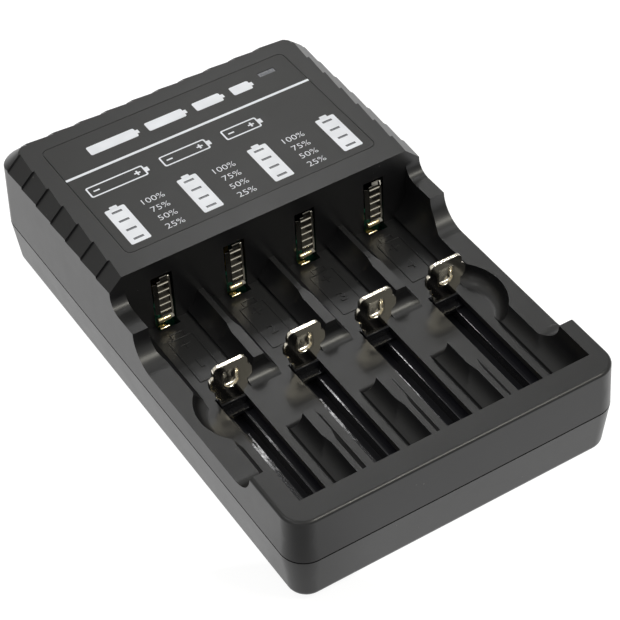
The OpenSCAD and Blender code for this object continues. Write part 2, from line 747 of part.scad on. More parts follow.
// Mains inlet for a figure-eight plug
module power_inlet() {
    face = hl - 0.6;
    z0 = inlet_z - inlet_h / 2;
    color("#141414") difference() {
        mid_block(0, inlet_w / 2, [face - inlet_d, face], [z0, z0 + inlet_h]);
        for (s = [-1, 1]) {
            bar_y(s * pin_pitch / 2, inlet_z, socket_r, face - inlet_d + 3, face + 1);
            bar_y(s * pin_pitch / 2, inlet_z, pin_d / 2, face - inlet_d - 1, face);
        }
        mid_block(0, pin_pitch / 2, [face - inlet_d + 3, face + 1], [inlet_z - 2.6, inlet_z + 2.6]);
    }
}

module inlet_pin(s) {
    face = hl - 0.6;
    color("#b8b8b8") {
        bar_y(s * pin_pitch / 2, inlet_z, pin_d / 2, face - inlet_d - 2, face - 2.5);
        bar_y(s * pin_pitch / 2, inlet_z, pin_d / 2, face - 2.5, face - 1.9, pin_d / 2 - 0.6);
    }
}

module case_screw(x, y) {
    head_z = base_z + 4.2;
    color("#8c8c8c") translate([x, y, 0]) {
        translate([0, 0, head_z - 1.6]) difference() {
            cylinder(h = 1.6, d = screw_head_d);
            for (a = [0, 90]) rotate([0, 0, a]) mid_block(0, 0.3, [-1.2, 1.2], [-1, 0.9]);
        }
        translate([0, 0, head_z - eps]) cylinder(h = part_z + screw_bite + eps - head_z, d = bore_d);
    }
}

module rubber_foot(x, y) {
    color("#303030") translate([x, y, 0]) {
        cylinder(h = 0.5, d1 = foot_d - 0.8, d2 = foot_d);
        translate([0, 0, 0.5]) cylinder(h = foot_h - 0.5, d = foot_d);
    }
}

corners = [[-1, -1], [1, -1], [-1, 1], [1, 1]];

base_shell();
top_shell();
label_plate();
power_window();
light_guide(bays[0]);  // light_guide_1
light_guide(bays[1]);  // light_guide_2
light_guide(bays[2]);  // light_guide_3
light_guide(bays[3]);  // light_guide_4
contact(bays[0]);  // contact_1
contact(bays[1]);  // contact_2
contact(bays[2]);  // contact_3
contact(bays[3]);  // contact_4
contact_board();
slider_plate(bays[0]);  // slider_plate_1
slider_plate(bays[1]);  // slider_plate_2
slider_plate(bays[2]);  // slider_plate_3
slider_plate(bays[3]);  // slider_plate_4
slider_carriage(bays[0]);  // slider_carriage_1
slider_carriage(bays[1]);  // slider_carriage_2
slider_carriage(bays[2]);  // slider_carriage_3
slider_carriage(bays[3]);  // slider_carriage_4
return_spring(bays[0]);  // return_spring_1
return_spring(bays[1]);  // return_spring_2
return_spring(bays[2]);  // return_spring_3
return_spring(bays[3]);  // return_spring_4
contact_rail(bays[0]);  // contact_rail_1
contact_rail(bays[1]);  // contact_rail_2
contact_rail(bays[2]);  // contact_rail_3
contact_rail(bays[3]);  // contact_rail_4
slide_track();
display_board();
level_lamps();
power_board();
transformer();
capacitor(10, 40, 13, 20);  // input_capacitor
capacitor(24, 32, 8, 13);  // output_capacitor_1
capacitor(24, 46, 8, 13);  // output_capacitor_2
power_inlet();
inlet_pin(-1);  // inlet_pin_1
inlet_pin(1);  // inlet_pin_2
case_screw(-screw_x, screw_front_y);  // case_screw_1
case_screw(screw_x, screw_front_y);  // case_screw_2
case_screw(-screw_x, screw_rear_y);  // case_screw_3
case_screw(screw_x, screw_rear_y);  // case_screw_4
rubber_foot(-foot_x, -foot_y);  // foot_1
rubber_foot(foot_x, -foot_y);  // foot_2
rubber_foot(-foot_x, foot_y);  // foot_3
rubber_foot(foot_x, foot_y);  // foot_4
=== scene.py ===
"""Finishes and studio for a desktop charger with four bays for lithium cells.

The charger lies on the floor with its bays along Y: the head with the label is at +Y, the
front wall at -Y, and the bays are numbered from -X to +X. Sizes are in metres.
"""

import math

import bmesh
import bpy
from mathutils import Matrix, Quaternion, Vector


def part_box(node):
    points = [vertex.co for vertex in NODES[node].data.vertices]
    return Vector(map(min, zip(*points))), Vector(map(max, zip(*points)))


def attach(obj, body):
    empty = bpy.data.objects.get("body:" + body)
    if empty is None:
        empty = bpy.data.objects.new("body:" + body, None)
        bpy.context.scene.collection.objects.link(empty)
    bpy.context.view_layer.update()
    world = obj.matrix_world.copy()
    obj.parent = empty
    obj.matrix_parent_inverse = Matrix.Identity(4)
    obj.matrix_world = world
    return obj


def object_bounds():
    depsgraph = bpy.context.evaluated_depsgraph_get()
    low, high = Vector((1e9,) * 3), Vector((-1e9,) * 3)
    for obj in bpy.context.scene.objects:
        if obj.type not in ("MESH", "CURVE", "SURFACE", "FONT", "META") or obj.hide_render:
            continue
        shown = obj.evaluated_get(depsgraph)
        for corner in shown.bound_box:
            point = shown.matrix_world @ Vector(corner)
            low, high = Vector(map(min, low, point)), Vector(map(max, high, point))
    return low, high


bl_info = {
    "name": "Cell Charger",
    "version": (1, 0, 0),
    "blender": (4, 5, 0),
    "location": "View3D > Sidebar > Charger",
    "description": "Finishes, printed label, floor marks and studio for a cell charger",
    "category": "Object",
}

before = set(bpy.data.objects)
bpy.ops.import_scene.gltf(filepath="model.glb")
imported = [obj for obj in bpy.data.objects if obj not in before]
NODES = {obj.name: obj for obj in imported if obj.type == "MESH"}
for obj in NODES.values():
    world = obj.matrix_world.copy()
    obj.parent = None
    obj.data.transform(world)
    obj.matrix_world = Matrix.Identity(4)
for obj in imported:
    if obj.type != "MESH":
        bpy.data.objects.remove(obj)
CAD_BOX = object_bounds()

MM = 0.001
BAYS = range(1, 5)
CASE = "case"


def middle(node, axis):
    """Middle of a CAD node along one axis."""
    low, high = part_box(node)
    return (low[axis] + high[axis]) / 2


# the light guides stand in line with the bays
BAY_X = [middle(f"light_guide_{bay}", 0) for bay in BAYS]
LABEL_LOW, LABEL_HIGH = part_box("label_plate")
LABEL_TOP = LABEL_HIGH.z
# a light guide's windows lie in a row along Y, the outer ones' middles this far from its ends
GUIDE_LOW, GUIDE_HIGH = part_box("light_guide_1")
GUIDE_RIM = 1.5 * MM
WINDOW_COUNT = 4
WINDOW_FIRST = GUIDE_LOW.y + GUIDE_RIM
WINDOW_PITCH = (GUIDE_HIGH.y - GUIDE_LOW.y - 2 * GUIDE_RIM) / (WINDOW_COUNT - 1)
# the bay floors lie a wall's thickness above the track
FLOOR_WALL = 1.8 * MM
BAY_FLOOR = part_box("slide_track")[1].z + FLOOR_WALL


# Sizes and colours that a user may change


class CaseSettings(bpy.types.PropertyGroup):
    """Moulded shells of the charger."""

    plastic: bpy.props.FloatVectorProperty(
        name="Plastic", description="Colour of the moulded shells", subtype="COLOR",
        size=3, min=0, max=1, default=(0.0066, 0.0066, 0.0073))
    roughness: bpy.props.FloatProperty(
        name="Roughness", description="Roughness of the satin shells", min=0, max=1,
        subtype="FACTOR", default=0.33)
    grain: bpy.props.FloatProperty(
        name="Grain", description="Size of the spark-eroded grain", unit="LENGTH",
        min=0.00005, max=0.002, default=0.22 * MM)
    edge: bpy.props.FloatProperty(
        name="Edge radius", description="Rounding of the moulded edges", unit="LENGTH",
        min=0.00002, max=0.001, default=0.22 * MM)


class MetalSettings(bpy.types.PropertyGroup):
    """Contacts, rails and small metal parts."""

    nickel: bpy.props.FloatVectorProperty(
        name="Nickel", description="Colour of the plated contacts", subtype="COLOR",
        size=3, min=0, max=1, default=(0.74, 0.70, 0.61))
    gold: bpy.props.FloatVectorProperty(
        name="Gold", description="Colour of the contact lugs and rails", subtype="COLOR",
        size=3, min=0, max=1, default=(0.88, 0.76, 0.46))
    roughness: bpy.props.FloatProperty(
        name="Roughness", description="Roughness of the plating", min=0, max=1,
        subtype="FACTOR", default=0.13)


class LabelSettings(bpy.types.PropertyGroup):
    """Printed label on the head."""

    ink: bpy.props.FloatVectorProperty(
        name="Ink", description="Colour of the print", subtype="COLOR",
        size=3, min=0, max=1, default=(0.78, 0.80, 0.86))
    rule_y: bpy.props.FloatProperty(
        name="Rule place", description="Y of the line across the label", unit="LENGTH",
        default=51.9 * MM)
    rule_width: bpy.props.FloatProperty(
        name="Rule width", description="Width of the line across the label",
        unit="LENGTH", default=0.85 * MM)
    symbol_width: bpy.props.FloatProperty(
        name="Symbol width", description="Width of a level symbol", unit="LENGTH",
        default=5.8 * MM)
    symbol_length: bpy.props.FloatProperty(
        name="Symbol length", description="Length of a level symbol", unit="LENGTH",
        default=15.1 * MM)
    digit_height: bpy.props.FloatProperty(
        name="Digit height", description="Height of the level numbers", unit="LENGTH",
        default=2.0 * MM)


class StudioSettings(bpy.types.PropertyGroup):
    """Camera and light."""

    eye: bpy.props.FloatVectorProperty(
        name="Eye", description="Place of the camera", subtype="TRANSLATION", size=3,
        default=(-202.5 * MM, -356.1 * MM, 412.0 * MM))
    azimuth: bpy.props.FloatProperty(
        name="Azimuth", description="Camera's turn round the charger, from the front",
        subtype="ANGLE", default=math.radians(-30.14))
    elevation: bpy.props.FloatProperty(
        name="Elevation", description="Camera's angle above the floor",
        subtype="ANGLE", default=math.radians(44.27))
    roll: bpy.props.FloatProperty(
        name="Roll", description="Camera's turn about its own line of sight",
        subtype="ANGLE", default=math.radians(-2.98))
    lens: bpy.props.FloatProperty(
        name="Lens", description="Focal length for a 36 mm sensor", min=20, max=300,
        default=126.4)
    sky_low: bpy.props.FloatProperty(
        name="Dark below", description="Rise of a direction where the surround is dark",
        min=-1, max=1, default=-0.1)
    sky_high: bpy.props.FloatProperty(
        name="White above", description="Rise of a direction where the surround is white",
        min=-1, max=1, default=0.58)
    sky_dark: bpy.props.FloatProperty(
        name="Horizon", description="Brightness at the horizon", min=0, max=1, default=0.16)
    sky_white: bpy.props.FloatProperty(
        name="Sky", description="Brightness from above", min=0, max=2, default=0.7)
    floor: bpy.props.FloatVectorProperty(
        name="Floor", description="Colour of the floor", subtype="COLOR", size=3,
        min=0, max=1, default=(0.85, 0.85, 0.85))


# Materials


class Finish:
    """A node material that is built step by step on Object coordinates."""

    # noise lies mostly between these
    noise_span = (0.3, 0.7)

    def __init__(self, name):
        self.material = bpy.data.materials.new(name)
        self.material.use_nodes = True
        self.tree = self.material.node_tree
        self.shader = self.tree.nodes["Principled BSDF"]
        self.place = self.node("ShaderNodeTexCoord").outputs["Object"]

    def node(self, kind, **settings):
        made = self.tree.nodes.new(kind)
        for key, value in settings.items():
            setattr(made, key, value)
        return made

    def link(self, start, end):
        self.tree.links.new(start, end)

    def set(self, **values):
        """Sets the shader's own sockets, such as Base_Color or Roughness."""
        for key, value in values.items():
            socket = self.shader.inputs[key.replace("_", " ")]
            socket.default_value = (*value, 1) if socket.type == "RGBA" else value
        return self

    def stretched(self, scale):
        """The place, drawn out along an axis by a small number for it."""
        mapping = self.node("ShaderNodeMapping")
        mapping.inputs["Scale"].default_value = scale
        self.link(self.place, mapping.inputs["Vector"])
        return mapping.outputs["Vector"]

    def noise(self, size, detail=2.0, place=None):
        """Noise with features of about one size, from 0 to 1."""
        made = self.node("ShaderNodeTexNoise")
        made.inputs["Scale"].default_value = 1 / size
        made.inputs["Detail"].default_value = detail
        self.link(place or self.place, made.inputs["Vector"])
        return made.outputs["Fac"]

    def spots(self, spacing, radius):
        """Sparse round spots: 1 inside a spot and 0 outside."""
        made = self.node("ShaderNodeTexVoronoi")
        made.inputs["Scale"].default_value = 1 / spacing
        self.link(self.place, made.inputs["Vector"])
        return self.ranged(made.outputs["Distance"], radius / spacing,
                           radius / spacing * 0.6, 0, 1)

    def ranged(self, value, low, high, to_low, to_high):
        made = self.node("ShaderNodeMapRange")
        for key, number in (("From Min", low), ("From Max", high),
                            ("To Min", to_low), ("To Max", to_high)):
            made.inputs[key].default_value = number
        self.link(value, made.inputs["Value"])
        return made.outputs["Result"]

    def times(self, first, second):
        made = self.node("ShaderNodeMath", operation="MULTIPLY")
        self.link(first, made.inputs[0])
        self.link(second, made.inputs[1])
        return made.outputs["Value"]

    def mixed(self, factor, first, second):
        """A colour from first to second; either may be a colour or a socket."""
        made = self.node("ShaderNodeMix", data_type="RGBA")
        self.link(factor, made.inputs["Factor"])
        for socket, value in ((made.inputs[6], first), (made.inputs[7], second)):
            if isinstance(value, bpy.types.NodeSocket):
                self.link(value, socket)
            else:
                socket.default_value = (*value, 1)
        return made.outputs[2]

    def colour(self, socket):
        self.link(socket, self.shader.inputs["Base Color"])
        return self

    def roughness(self, socket):
        self.link(socket, self.shader.inputs["Roughness"])
        return self

    def bump(self, height, depth, strength=1.0):
        """Relief of a depth in metres; a later call lies on top of an earlier one."""
        made = self.node("ShaderNodeBump")
        made.inputs["Distance"].default_value = depth
        made.inputs["Strength"].default_value = strength
        self.link(height, made.inputs["Height"])
        normal = self.shader.inputs["Normal"]
        if normal.links:
            self.link(normal.links[0].from_socket, made.inputs["Normal"])
        self.link(made.outputs["Normal"], normal)
        return self


def shaded(colour, factor):
    """A colour made darker or lighter."""
    return tuple(min(1.0, part * factor) for part in colour)


def moulded_plastic(name, colour, roughness, grain, dust=0.0):
    """Satin moulded plastic with a spark-eroded grain, faint flow marks and dust."""
    finish = Finish(name)
    flow = finish.noise(14 * MM, 3)
    base = finish.mixed(flow, shaded(colour, 0.8), shaded(colour, 1.2))
    rough = finish.ranged(finish.noise(5 * MM, 4), *finish.noise_span,
                          roughness - 0.012, roughness + 0.015)
    if dust:
        # specks lie only where a broad noise is high
        dusty = finish.ranged(finish.noise(9 * MM), 0.56, 0.64, 0, dust)
        specks = finish.times(finish.spots(2.6 * MM, 0.11 * MM), dusty)
        base = finish.mixed(specks, base, (0.42, 0.41, 0.38))
    finish.colour(base).roughness(rough)
    finish.bump(finish.noise(grain, 3), 0.003 * MM)
    finish.bump(finish.noise(9 * MM, 1), 0.006 * MM)
    return finish.material


def gloss_plastic(name, colour, roughness, level=0.5):
    """Polished plastic with a faint ripple; level is how strongly it mirrors."""
    finish = Finish(name)
    finish.set(Specular_IOR_Level=level)
    finish.colour(finish.mixed(finish.noise(6 * MM, 2), shaded(colour, 0.85),
                               shaded(colour, 1.15)))
    finish.roughness(finish.ranged(finish.noise(1.5 * MM, 4), *finish.noise_span,
                                   roughness * 0.7, roughness * 1.5))
    finish.bump(finish.noise(2.5 * MM, 1), 0.01 * MM)
    return finish.material


def plated_metal(name, colour, roughness, painted_light_zone=None):
    """Polished plating with fine rubbing marks.

    The last argument, when given, paints shade or a highlight into a part of the plating: the
    lean of that part's face, the place along Y behind which and the height above which it
    lies, and how bright it is painted beside the rest.
    """
    finish = Finish(name)
    finish.set(Metallic=1.0)
    base = finish.mixed(finish.noise(1.6 * MM, 4), shaded(colour, 0.94),
                        shaded(colour, 1.04))
    if painted_light_zone:
        # painted shade or a painted highlight where the face lies behind the place and above
        # the foot
        lean, place, foot, shade = painted_light_zone
        depth = finish.node("ShaderNodeVectorMath", operation="DOT_PRODUCT")
        depth.inputs[1].default_value = (0, 1, -lean)
        finish.link(finish.place, depth.inputs[0])
        behind = finish.ranged(depth.outputs["Value"], place - 0.05 * MM, place, 0, 0.8)
        parts = finish.node("ShaderNodeSeparateXYZ")
        finish.link(finish.place, parts.inputs["Vector"])
        above = finish.ranged(parts.outputs["Z"], foot - 0.5 * MM, foot, 0, 1)
        base = finish.mixed(finish.times(behind, above), base, shaded(colour, shade))
    finish.colour(base)
    finish.roughness(finish.ranged(finish.noise(0.9 * MM, 3), *finish.noise_span,
                                   roughness * 0.8, roughness * 1.25))
    marks = finish.noise(0.25 * MM, 1, finish.stretched((0.1, 1, 1)))
    finish.bump(marks, 0.0002 * MM)
    finish.bump(finish.noise(3 * MM, 1), 0.008 * MM)
    return finish.material


def solder_mask(name):
    """Green circuit board with copper tracks under its varnish."""
    finish = Finish(name)
    tracks = finish.node("ShaderNodeTexBrick")
    for key, value in (("Color1", (0.016, 0.13, 0.08, 1)), ("Color2", (0.013, 0.11, 0.066, 1)),
                       ("Mortar", (0.03, 0.2, 0.12, 1)), ("Scale", 1 / (4 * MM)),
                       ("Mortar Size", 0.06)):
        tracks.inputs[key].default_value = value
    finish.link(finish.place, tracks.inputs["Vector"])
    finish.colour(tracks.outputs["Color"])
    finish.set(Roughness=0.3)
    finish.bump(tracks.outputs["Fac"], 0.02 * MM)
    return finish.material


def rubber(name, colour):
    """Matte rubber with a fine tooth."""
    finish = Finish(name)
    finish.colour(finish.mixed(finish.noise(3 * MM, 3), shaded(colour, 0.8),
                               shaded(colour, 1.25)))
    finish.set(Roughness=0.82)
    finish.bump(finish.noise(0.3 * MM, 4), 0.04 * MM)
    return finish.material


def wound_tape(name, colour):
    """Insulating tape laid in turns."""
    finish = Finish(name)
    turns = finish.node("ShaderNodeTexWave", bands_direction="Z")
    turns.inputs["Scale"].default_value = 1 / (9 * MM)
    finish.link(finish.place, turns.inputs["Vector"])
    finish.colour(finish.mixed(turns.outputs["Fac"], shaded(colour, 0.8), colour))
    finish.set(Roughness=0.4)
    finish.bump(turns.outputs["Fac"], 0.05 * MM)
    return finish.material


# Mesh tools


def settle():
    """Leaves edit mode and selects nothing."""
    if bpy.context.object and bpy.context.object.mode != "OBJECT":
        bpy.ops.object.mode_set(mode="OBJECT")
    bpy.ops.object.select_all(action="DESELECT")


def pick(obj):
    """Selects one object alone and makes it the active one."""
    settle()
    obj.select_set(True)
    bpy.context.view_layer.objects.active = obj
    return obj


def select_edges(obj, wanted):
    """In edit mode, selects the edges for which wanted(first, second) is true."""
    mesh = bmesh.from_edit_mesh(obj.data)
    for edge in mesh.edges:
        first, second = (corner.co for corner in edge.verts)
        edge.select = wanted(first, second)
    mesh.select_flush_mode()
    bmesh.update_edit_mesh(obj.data)


def upright(first, second):
    """Whether an edge stands along Z."""
    return abs(first.z - second.z) > (first.xy - second.xy).length


def pad(x, y, z, width, length, height, corner=0.0):
    """A flat pad standing on z, with its upright edges rounded to a corner radius."""
    settle()
    bpy.ops.mesh.primitive_cube_add(size=1, location=(x, y, z + height / 2))
    made = bpy.context.object
    made.scale = (width, length, height)
    bpy.ops.object.transform_apply(location=True, rotation=True, scale=True)
    if corner:
        bpy.ops.object.mode_set(mode="EDIT")
        bpy.ops.mesh.select_mode(type="EDGE")
        select_edges(made, upright)
        bpy.ops.mesh.bevel(offset=corner, segments=5, affect="EDGES")
        bpy.ops.object.mode_set(mode="OBJECT")
    return made


def joined(name, parts):
    """One piece out of several."""
    settle()
    for part in parts:
        part.select_set(True)
    bpy.context.view_layer.objects.active = parts[0]
    if len(parts) > 1:
        bpy.ops.object.join()
    piece = bpy.context.object
    piece.name = piece.data.name = name
    return piece


def cut(body, tools, operation="DIFFERENCE"):
    """Takes the tools' solids out of the body, or adds them to it with the operation UNION."""
    for tool in tools:
        pick(body)
        bpy.ops.object.modifier_add(type="BOOLEAN")
        boolean = body.modifiers[-1]
        boolean.operation = operation
        boolean.solver = "EXACT"
        boolean.object = tool
        bpy.ops.object.modifier_apply(modifier=boolean.name)
        bpy.data.objects.remove(tool)
    return body


def plus_sign(x, y, z, arm, line, depth):
    """A plus sign about x and y; arm is from its middle to an end."""
    along = pad(x, y, z, 2 * arm, line, depth)
    across = pad(x, y, z, line, 2 * arm, depth)
    return cut(along, [across], "UNION")


def lettered(text, x, y, z, width, height, depth, weight=0.0):
    """A number as a thin solid that fills a width and a height about its middle.

    weight makes its strokes thicker or thinner, as a share of the letter size.
    """
    settle()
    bpy.ops.object.text_add()
    made = bpy.context.object
    made.data.body = text
    # any depth will do, because the scale below sets it
    made.data.extrude = 0.05
    made.data.offset = weight
    made.data.resolution_u = 4
    bpy.ops.object.convert(target="MESH")
    made = bpy.context.object
    corners = [Vector(corner) for corner in made.bound_box]
    low, high = corners[0], corners[6]
    size = high - low
    made.scale = (width / size.x, height / size.y, depth / size.z)
    centre = (low + high) / 2
    made.location = (x - centre.x * made.scale.x, y - centre.y * made.scale.y,
                     z + depth / 2 - centre.z * made.scale.z)
    bpy.ops.object.transform_apply(location=True, rotation=True, scale=True)
    return made


def dress(piece, material, body):
    """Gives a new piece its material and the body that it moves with."""
    piece.data.materials.clear()
    piece.data.materials.append(material)
    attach(piece, body)
    return piece


def paint(names, material):
    """Gives CAD nodes a material."""
    for name in names:
        mesh = NODES[name].data
        mesh.materials.clear()
        mesh.materials.append(material)


def round_edges(obj, radius, segments=2, angle=math.radians(30)):
    """Rounds an object's sharp edges with modifiers and keeps its broad faces flat."""
    weld = obj.modifiers.new("Weld", "WELD")
    weld.merge_threshold = 0.002 * MM
    bevel = obj.modifiers.new("Bevel", "BEVEL")
    bevel.limit_method = "ANGLE"
    bevel.angle_limit = angle
    bevel.width = radius
    bevel.segments = segments
    bevel.harden_normals = True
    bevel.use_clamp_overlap = True
    even = obj.modifiers.new("Even", "WEIGHTED_NORMAL")
    even.mode = "FACE_AREA_WITH_ANGLE"
    even.weight = 90
    even.keep_sharp = True
    for face in obj.data.polygons:
        face.use_smooth = True


def soften(names, radius, segments=2, angle=math.radians(30)):
    """Rounds the sharp edges of CAD nodes; their own meshes stay."""
    for name in names:
        round_edges(NODES[name], radius, segments, angle)


# Operators


class CHARGER_OT_case(bpy.types.Operator):
    """Finish the moulded shells, the track, the carriages and the inlet"""

    bl_idname = "charger.case"
    bl_label = "Case"

    def execute(self, context):
        case = context.scene.charger_case
        shell = moulded_plastic("shell_plastic", case.plastic, case.roughness,
                                case.grain, dust=0.8)
        shells = ["top_shell", "base_shell"]
        paint(shells, shell)
        soften(shells, case.edge)
        paint(["slide_track"], gloss_plastic("track_plastic", (0.013, 0.013, 0.016),
                                             roughness=0.06, level=0.3))
        soften(["slide_track"], 0.15 * MM)
        carriages = [f"slider_carriage_{bay}" for bay in BAYS]
        paint(carriages, gloss_plastic("carriage_plastic", (0.006, 0.006, 0.0075),
                                       roughness=0.2, level=0.2))
        soften(carriages, 0.16 * MM)
        paint(["power_inlet"], moulded_plastic("inlet_plastic", (0.012, 0.012, 0.012),
                                               roughness=0.42, grain=case.grain))
        soften(["power_inlet"], 0.3 * MM)
        return {"FINISHED"}


class CHARGER_OT_contacts(bpy.types.Operator):
    """Finish the plated contacts, rails, springs and pins"""

    bl_idname = "charger.contacts"
    bl_label = "Contacts"

    # the dish of a sliding plate: its width and corners, its lowest and highest edge below
    # the plate's top, and its rim and its back from the plate's front and back
    dish_width, dish_corner = 5.5 * MM, 1.9 * MM
    dish_drop = (8.75 * MM, 1.95 * MM)
    dish_proud, dish_wall = 0.03 * MM, 0.75 * MM
    # each step of the dish, from its rim to its middle: how far in, how far down, in mm
    dish_steps = ((0.3, 0.0), (0.14, 0.04), (0.14, 0.22), (0.13, 0.42), (0.16, 0.34),
                  (0.24, 0.18), (0.34, 0.08), (0.4, 0.02))

    # each rolled bend of a fixed contact, in mm: its two ends along X from the bay's middle,
    # its Y from the contact's front, its Z and its radius
    rolls = ((-2.9, 0.9, 0.6, 19.9, 0.78), (-2.0, 1.0, 1.9, 15.2, 0.7))
    # the flat tongue behind the lower bend: its middle beside the bay's middle and behind
    # the contact's front, its Z, and its size
    tongue_place = (-0.45 * MM, 3.2 * MM, 14.7 * MM)
    tongue_size = (2.5 * MM, 2.9 * MM, 0.3 * MM)

    # the fixed contacts' ribbed face: its lean, its foot and its depth behind their front
    rib_lean, rib_foot, rib_depth = 0.027, 21.1 * MM, 0.67 * MM
    # the shade painted on that face between the ribs, beside the nickel; the shade painted on
    # the sliding plates, beside the nickel; and the highlight painted in a plate's dish,
    # beside the plate, from this far behind the plate's front
    rib_shade, plate_shade, dish_shade = 0.12, 0.66, 1.8
    plate_skin = 0.15 * MM

    def dish(self, bay, x):
        """The pressed dish in the front of a sliding plate."""
        low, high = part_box(f"slider_plate_{bay}")
        front, back = low.y - self.dish_proud, high.y - self.dish_wall
        bottom, top = (high.z - drop for drop in self.dish_drop)
        made = pad(x, (front + back) / 2, bottom, self.dish_width, back - front, top - bottom)
        bpy.ops.object.mode_set(mode="EDIT")
        bpy.ops.mesh.select_mode(type="EDGE")
        select_edges(made, lambda a, b: abs(a.y - b.y) > abs(a.x - b.x) + abs(a.z - b.z))
        bpy.ops.mesh.bevel(offset=self.dish_corner, segments=8, affect="EDGES")
        bpy.ops.mesh.select_mode(type="FACE")
        mesh = bmesh.from_edit_mesh(made.data)
        for face in mesh.faces:
            face.select = face.normal.y < -0.9
        bmesh.update_edit_mesh(made.data)
        for inward, down in self.dish_steps:
            bpy.ops.mesh.inset(thickness=inward * MM, depth=-down * MM)
        bpy.ops.object.mode_set(mode="OBJECT")
        bpy.ops.object.modifier_add(type="SUBSURF")
        made.modifiers[-1].levels = made.modifiers[-1].render_levels = 2
        bpy.ops.object.modifier_apply(modifier=made.modifiers[-1].name)
        bpy.ops.object.shade_smooth()
        made.name = made.data.name = f"plate_dish_{bay}"
        dress(made, bpy.data.materials["plate_nickel"], f"slider_{bay}")

    def lugs(self, bay, x):
        """The rolled bends of a fixed contact's foot, over and under the board's edge."""
        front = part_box(f"contact_{bay}")[0].y
        parts = []
        for x0, x1, y, z, radius in self.rolls:
            settle()
            bpy.ops.mesh.primitive_cylinder_add(
                vertices=24, radius=radius * MM, depth=(x1 - x0) * MM,
                location=(x + (x0 + x1) / 2 * MM, front + y * MM, z * MM),
                rotation=(0, math.pi / 2, 0))
            roll = bpy.context.object
            bpy.ops.object.transform_apply(location=True, rotation=True, scale=True)
            bpy.ops.object.mode_set(mode="EDIT")
            bpy.ops.mesh.select_mode(type="EDGE")
            select_edges(roll, lambda a, b: abs(a.x - b.x) < 0.01 * MM)
            bpy.ops.mesh.bevel(offset=0.4 * radius * MM, segments=4, affect="EDGES")
            bpy.ops.object.mode_set(mode="OBJECT")
            bpy.ops.object.shade_smooth()
            parts.append(roll)
        beside, behind, foot = self.tongue_place
        parts.append(pad(x + beside, front + behind, foot, *self.tongue_size, 0.2 * MM))
        gold = bpy.data.materials["lug_gold"]
        dress(joined(f"contact_lugs_{bay}", parts), gold, CASE)

    def execute(self, context):
        metal = context.scene.charger_metal
        plates = [f"slider_plate_{bay}" for bay in BAYS]
        fixed = [f"contact_{bay}" for bay in BAYS]
        plate_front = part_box(plates[0])[0].y
        # the sliding plates' nickel gets a painted shade, and the hollow of their dish a
        # painted highlight
        painted_light_zone = (0, plate_front + self.plate_skin, 0, self.dish_shade)
        paint(plates, plated_metal("plate_nickel", shaded(metal.nickel, self.plate_shade),
                                   metal.roughness, painted_light_zone))
        soften(plates, 0.12 * MM, 3)
        # the fixed contacts' face between and behind their ribs gets a painted shade
        rib_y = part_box(fixed[0])[0].y + self.rib_depth - self.rib_lean * self.rib_foot
        painted_light_zone = (self.rib_lean, rib_y, self.rib_foot, self.rib_shade)
        paint(fixed, plated_metal("contact_nickel", metal.nickel, metal.roughness, painted_light_zone))
        soften(fixed, 0.06 * MM)
        plated_metal("lug_gold", metal.gold, 0.2)
        paint([f"contact_rail_{bay}" for bay in BAYS],
              plated_metal("rail_brass", metal.gold, 0.22))
        paint([f"return_spring_{bay}" for bay in BAYS],
              plated_metal("spring_steel", (0.45, 0.45, 0.46), 0.3))
        pins = ["inlet_pin_1", "inlet_pin_2"]
        paint(pins, plated_metal("pin_nickel", (0.72, 0.71, 0.68), 0.18))
        soften(pins, 0.1 * MM)
        for bay, x in zip(BAYS, BAY_X):
            self.dish(bay, x)
            self.lugs(bay, x)
        return {"FINISHED"}


class CHARGER_OT_boards(bpy.types.Operator):
    """Finish the boards, their components, the windows, the screws and the feet"""

    bl_idname = "charger.boards"
    bl_label = "Boards, windows and fasteners"

    def execute(self, context):
        paint(["contact_board", "display_board", "power_board"], solder_mask("board_green"))
        paint(["level_lamps"], gloss_plastic("lamp_body", (0.62, 0.60, 0.50), 0.3))
        paint(["transformer"], wound_tape("transformer_tape", (0.60, 0.42, 0.07)))
        paint(["input_capacitor", "output_capacitor_1", "output_capacitor_2"],
              gloss_plastic("capacitor_sleeve", (0.03, 0.04, 0.10), 0.25))
        windows = ["power_window"] + [f"light_guide_{bay}" for bay in BAYS]
        paint(windows, gloss_plastic("smoked_window", (0.15, 0.155, 0.175), 0.25))
        screws = [f"case_screw_{number}" for number in range(1, 5)]
        paint(screws, plated_metal("screw_zinc", (0.42, 0.42, 0.43), 0.32))
        feet = [f"foot_{number}" for number in range(1, 5)]
        paint(feet, rubber("foot_rubber", (0.02, 0.02, 0.02)))
        soften(feet, 0.2 * MM)
        return {"FINISHED"}


